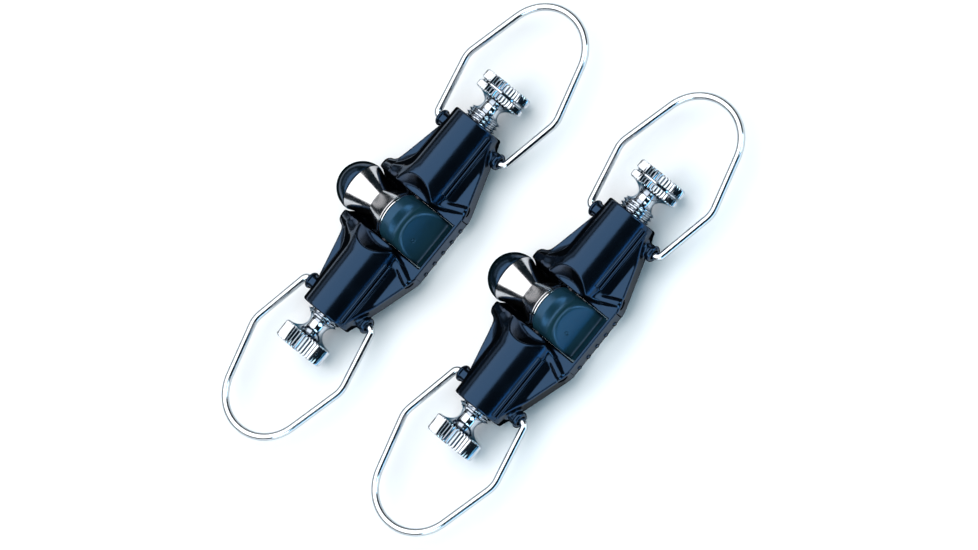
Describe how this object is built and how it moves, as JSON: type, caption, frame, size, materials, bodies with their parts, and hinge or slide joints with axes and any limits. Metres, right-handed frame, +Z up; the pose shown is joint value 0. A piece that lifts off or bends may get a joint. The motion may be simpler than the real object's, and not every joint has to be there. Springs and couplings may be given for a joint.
{
  "type": "pair of outrigger release clips",
  "caption": "Line release clips: a moulded body with a rocking roller trigger between two knurled tension knobs, and a swinging wire bail at each end.",
  "frame": {"origin": "centre of the pair's box, at the flat feet's level", "axes": "+X along the barrels, towards the knobs with a single knurled ring; +Y across the clips, away from the rollers' domed ends; +Z up"},
  "size_m": [0.1718, 0.108, 0.0191],
  "materials": {
    "housing_nylon": "glossy moulded black nylon",
    "arm_nylon": "satin moulded black nylon",
    "cap_nylon": "glossy moulded black nylon",
    "polished_chrome": "bright chrome on brass, knurled",
    "roller_steel": "turned and polished stainless steel",
    "washer_steel": "bright stainless steel",
    "stainless_wire": "bright drawn stainless wire",
    "spring_wire": "spring wire",
    "plain_steel": "turned stainless steel",
    "plunger_steel": "turned steel with a black oxide finish"
  },
  "bodies": {
    "clip_a_body": {"clip_a_housing": "housing_nylon", "clip_a_plunger_right": "plunger_steel", "clip_a_plunger_left": "plunger_steel"},
    "clip_a_trigger": {"clip_a_trigger_arm": "arm_nylon", "clip_a_roller_axle": "plain_steel", "clip_a_thrust_washer": "washer_steel", "clip_a_dome_cap": "cap_nylon"},
    "clip_a_roller": {"clip_a_roller": "roller_steel"},
    "clip_a_seat_right": {"clip_a_spring_seat_right": "plain_steel", "clip_a_spring_right": "spring_wire"},
    "clip_a_knob_right": {"clip_a_tension_knob_right": "polished_chrome"},
    "clip_a_bail_right": {"clip_a_bail_right": "stainless_wire"},
    "clip_a_seat_left": {"clip_a_spring_seat_left": "plain_steel", "clip_a_spring_left": "spring_wire"},
    "clip_a_knob_left": {"clip_a_tension_knob_left": "polished_chrome"},
    "clip_a_bail_left": {"clip_a_bail_left": "stainless_wire"},
    "clip_b_body": {"clip_b_housing": "housing_nylon", "clip_b_plunger_right": "plunger_steel", "clip_b_plunger_left": "plunger_steel"},
    "clip_b_trigger": {"clip_b_trigger_arm": "arm_nylon", "clip_b_roller_axle": "plain_steel", "clip_b_thrust_washer": "washer_steel", "clip_b_dome_cap": "cap_nylon"},
    "clip_b_roller": {"clip_b_roller": "roller_steel"},
    "clip_b_seat_right": {"clip_b_spring_seat_right": "plain_steel", "clip_b_spring_right": "spring_wire"},
    "clip_b_knob_right": {"clip_b_tension_knob_right": "polished_chrome"},
    "clip_b_bail_right": {"clip_b_bail_right": "stainless_wire"},
    "clip_b_seat_left": {"clip_b_spring_seat_left": "plain_steel", "clip_b_spring_left": "spring_wire"},
    "clip_b_knob_left": {"clip_b_tension_knob_left": "polished_chrome"},
    "clip_b_bail_left": {"clip_b_bail_left": "stainless_wire"}
  },
  "joints": [
    {"name": "clip_a_trigger_rock", "type": "hinge", "parent": "clip_a_body", "child": "clip_a_trigger", "pos_m": [0.0038, -0.02791, 0.01], "axis": [-1, 0, 0], "range_deg": [0, 70]},
    {"name": "clip_a_roller_spin", "type": "hinge", "parent": "clip_a_trigger", "child": "clip_a_roller", "pos_m": [0.0038, -0.03891, 0.01], "axis": [0, 1, 0], "continuous": true},
    {"name": "clip_a_tension_travel_right", "type": "slide", "parent": "clip_a_body", "child": "clip_a_seat_right", "axis": [1, 0, 0], "range_m": [-0.00127, 0.00508], "deforming": ["clip_a_spring_right"]},
    {"name": "clip_a_knob_turn_right", "type": "hinge", "parent": "clip_a_seat_right", "child": "clip_a_knob_right", "pos_m": [0.0488, -0.02791, 0.01], "axis": [1, 0, 0], "range_deg": [-361, 1441]},
    {"name": "clip_a_bail_swing_right", "type": "hinge", "parent": "clip_a_body", "child": "clip_a_bail_right", "pos_m": [0.0358, -0.02791, 0.008], "axis": [0, -1, 0], "range_deg": [-120, 120]},
    {"name": "clip_a_tension_travel_left", "type": "slide", "parent": "clip_a_body", "child": "clip_a_seat_left", "axis": [-1, 0, 0], "range_m": [-0.00254, 0.00381], "deforming": ["clip_a_spring_left"]},
    {"name": "clip_a_knob_turn_left", "type": "hinge", "parent": "clip_a_seat_left", "child": "clip_a_knob_left", "pos_m": [-0.0412, -0.02791, 0.01], "axis": [-1, 0, 0], "range_deg": [-721, 1081]},
    {"name": "clip_a_bail_swing_left", "type": "hinge", "parent": "clip_a_body", "child": "clip_a_bail_left", "pos_m": [-0.0282, -0.02791, 0.008], "axis": [0, 1, 0], "range_deg": [-120, 120]},
    {"name": "clip_b_trigger_rock", "type": "hinge", "parent": "clip_b_body", "child": "clip_b_trigger", "pos_m": [-0.0038, 0.03329, 0.01], "axis": [-1, 0, 0], "range_deg": [0, 70]},
    {"name": "clip_b_roller_spin", "type": "hinge", "parent": "clip_b_trigger", "child": "clip_b_roller", "pos_m": [-0.0038, 0.02229, 0.01], "axis": [0, 1, 0], "continuous": true},
    {"name": "clip_b_tension_travel_right", "type": "slide", "parent": "clip_b_body", "child": "clip_b_seat_right", "axis": [1, 0, 0], "range_m": [-0.00127, 0.00508], "deforming": ["clip_b_spring_right"]},
    {"name": "clip_b_knob_turn_right", "type": "hinge", "parent": "clip_b_seat_right", "child": "clip_b_knob_right", "pos_m": [0.0412, 0.03329, 0.01], "axis": [1, 0, 0], "range_deg": [-361, 1441]},
    {"name": "clip_b_bail_swing_right", "type": "hinge", "parent": "clip_b_body", "child": "clip_b_bail_right", "pos_m": [0.0282, 0.03329, 0.008], "axis": [0, -1, 0], "range_deg": [-120, 120]},
    {"name": "clip_b_tension_travel_left", "type": "slide", "parent": "clip_b_body", "child": "clip_b_seat_left", "axis": [-1, 0, 0], "range_m": [-0.00254, 0.00381], "deforming": ["clip_b_spring_left"]},
    {"name": "clip_b_knob_turn_left", "type": "hinge", "parent": "clip_b_seat_left", "child": "clip_b_knob_left", "pos_m": [-0.0488, 0.03329, 0.01], "axis": [-1, 0, 0], "range_deg": [-721, 1081]},
    {"name": "clip_b_bail_swing_left", "type": "hinge", "parent": "clip_b_body", "child": "clip_b_bail_left", "pos_m": [-0.0358, 0.03329, 0.008], "axis": [0, 1, 0], "range_deg": [-120, 120]},
    {"name": "clip_b_lift_off", "type": "slide", "parent": "clip_a_body", "child": "clip_b_body", "axis": [0, 0, 1], "range_m": [0, 0.06]}
  ],
  "couplings": [
    {"joint": "clip_a_knob_turn_right", "follows": "clip_a_tension_travel_right", "rad_per_m": 4947.4},
    {"joint": "clip_a_knob_turn_left", "follows": "clip_a_tension_travel_left", "rad_per_m": 4947.4},
    {"joint": "clip_b_knob_turn_right", "follows": "clip_b_tension_travel_right", "rad_per_m": 4947.4},
    {"joint": "clip_b_knob_turn_left", "follows": "clip_b_tension_travel_left", "rad_per_m": 4947.4}
  ]
}
